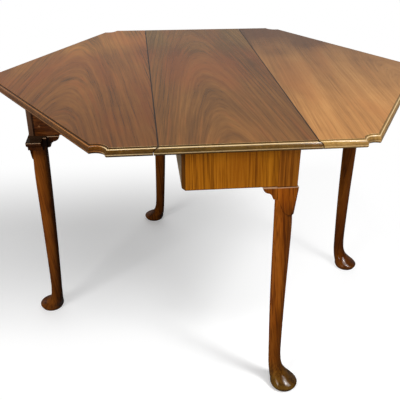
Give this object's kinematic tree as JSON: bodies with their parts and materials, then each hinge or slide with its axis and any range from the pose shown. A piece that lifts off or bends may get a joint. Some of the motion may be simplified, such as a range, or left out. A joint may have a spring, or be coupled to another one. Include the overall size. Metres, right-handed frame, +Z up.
{
  "type": "swing-leg drop-leaf table",
  "caption": "Six-sided drop-leaf table with scooped corners, moulded edge and rule joints, on pad-foot legs; legs on knuckle-jointed rails swing out to hold up the leaves.",
  "frame": {"origin": "on the floor below the middle of the top", "axes": "+X across the leaves towards the right leaf, +Y along the joint lines away from the camera, +Z up"},
  "size_m": [1.161, 0.994, 0.72],
  "materials": {
    "mahogany_top": "polished",
    "mahogany_leaf": "polished",
    "mahogany_rail": "polished",
    "mahogany_leg": "polished",
    "secondary_wood": "planed",
    "peg_wood": "planed",
    "wrought_iron": "dark forged",
    "steel_screw": "worn"
  },
  "bodies": {
    "frame": {"centre_top": "mahogany_top", "front_end_rail": "mahogany_rail", "back_end_rail": "mahogany_rail", "back_left_leg": "mahogany_leg", "front_right_leg": "mahogany_leg", "left_inner_rail": "secondary_wood", "left_fixed_rail": "mahogany_rail", "left_pivot_pin": "wrought_iron", "left_hinge_plates": "wrought_iron", "left_hinge_pins": "wrought_iron", "left_plate_screws": "steel_screw", "left_top_screws": "steel_screw", "left_rail_screws": "steel_screw", "back_left_end_ear": "mahogany_leg", "back_left_side_ear": "mahogany_leg", "right_inner_rail": "secondary_wood", "right_fixed_rail": "mahogany_rail", "right_pivot_pin": "wrought_iron", "right_hinge_plates": "wrought_iron", "right_hinge_pins": "wrought_iron", "right_plate_screws": "steel_screw", "right_top_screws": "steel_screw", "right_rail_screws": "steel_screw", "front_right_end_ear": "mahogany_leg", "front_right_side_ear": "mahogany_leg", "front_left_glue_block": "secondary_wood", "back_left_glue_block": "secondary_wood", "front_right_glue_block": "secondary_wood", "back_right_glue_block": "secondary_wood"},
    "left_leaf_body": {"left_leaf": "mahogany_leaf", "left_hinge_straps": "wrought_iron", "left_strap_screws": "steel_screw"},
    "left_swing_body": {"left_fly_rail": "mahogany_rail", "left_swing_leg": "mahogany_leg", "left_swing_rail_ear": "mahogany_leg", "left_swing_end_ear": "mahogany_leg", "left_leg_pegs": "peg_wood"},
    "right_leaf_body": {"right_leaf": "mahogany_leaf", "right_hinge_straps": "wrought_iron", "right_strap_screws": "steel_screw"},
    "right_swing_body": {"right_fly_rail": "mahogany_rail", "right_swing_leg": "mahogany_leg", "right_swing_rail_ear": "mahogany_leg", "right_swing_end_ear": "mahogany_leg", "right_leg_pegs": "peg_wood"}
  },
  "joints": [
    {"name": "left_leg_swing", "type": "hinge", "parent": "frame", "child": "left_swing_body", "pos_m": [-0.128, -0.084, 0.646], "axis": [0, 0, 1], "range_deg": [0, 90]},
    {"name": "right_leg_swing", "type": "hinge", "parent": "frame", "child": "right_swing_body", "pos_m": [0.128, 0.084, 0.646], "axis": [0, 0, 1], "range_deg": [0, 90]},
    {"name": "left_leaf_lift", "type": "hinge", "parent": "frame", "child": "left_leaf_body", "pos_m": [-0.161, 0, 0.707], "axis": [0, 1, 0], "range_deg": [0, 2]},
    {"name": "right_leaf_lift", "type": "hinge", "parent": "frame", "child": "right_leaf_body", "pos_m": [0.161, 0, 0.707], "axis": [0, -1, 0], "range_deg": [0, 2]}
  ]
}
